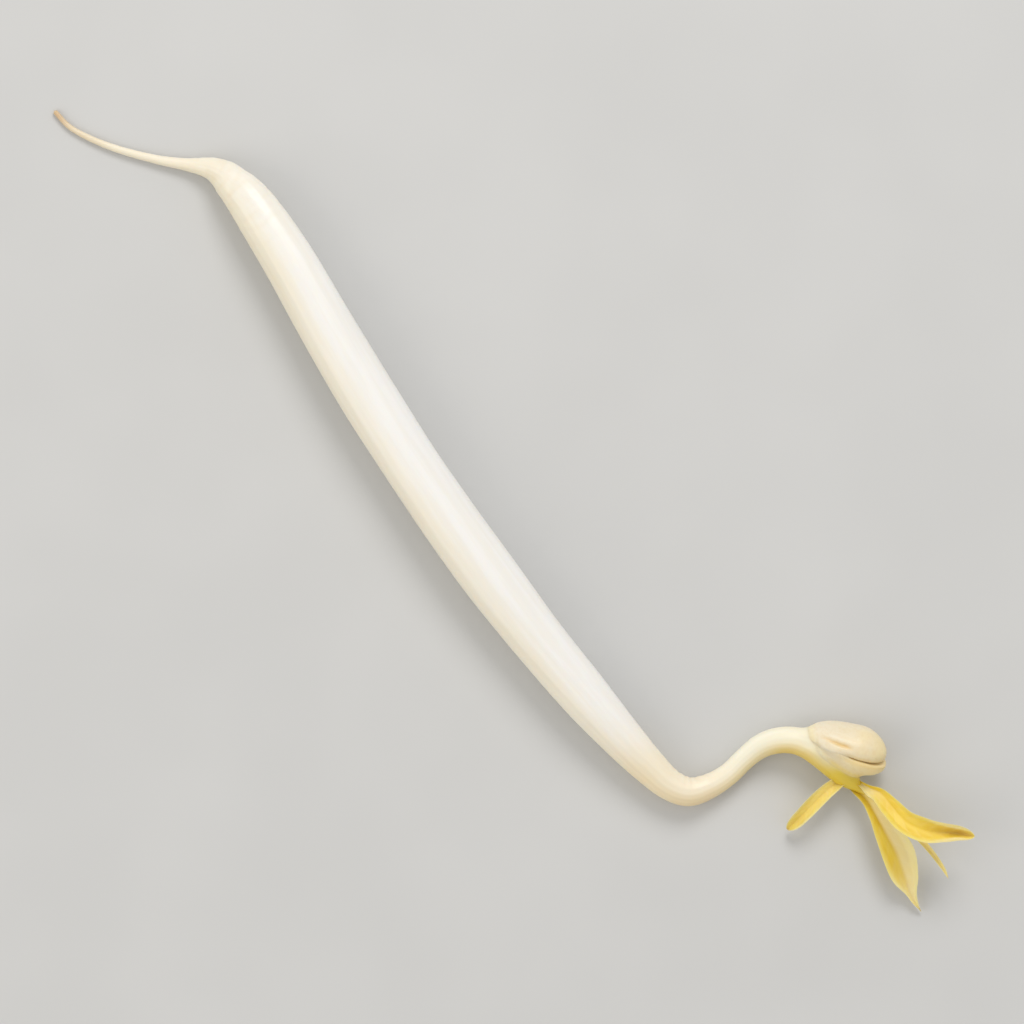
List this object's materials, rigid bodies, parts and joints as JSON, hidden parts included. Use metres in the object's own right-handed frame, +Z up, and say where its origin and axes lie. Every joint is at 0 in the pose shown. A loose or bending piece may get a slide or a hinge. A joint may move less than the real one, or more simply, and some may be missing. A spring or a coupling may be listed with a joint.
{
  "type": "mung bean sprout",
  "caption": "Single mung bean sprout lying on its side: thick white stem tapering to a thread root, hooked neck, folded seed halves and small yellow leaves.",
  "frame": {"origin": "on the surface that the sprout lies on, under the middle of its bounding box", "axes": "+X along the stem from root to head, +Y towards the side that the head hooks over to, +Z up from the surface"},
  "size_m": [0.0838, 0.0222, 0.0047],
  "materials": {
    "white_flesh": "moist, waxy, slightly translucent plant flesh",
    "seed_flesh": "waxy cream seed flesh",
    "yellow_leaf": "thin satin yellow leaf",
    "pale_leaf": "thin satin pale leaf"
  },
  "bodies": {
    "root": {"stem": "white_flesh", "cotyledon_outer": "seed_flesh", "cotyledon_inner": "seed_flesh", "leaf_right": "yellow_leaf", "leaf_middle": "yellow_leaf", "leaf_left": "yellow_leaf", "bud_leaf": "pale_leaf"}
  },
  "joints": []
}
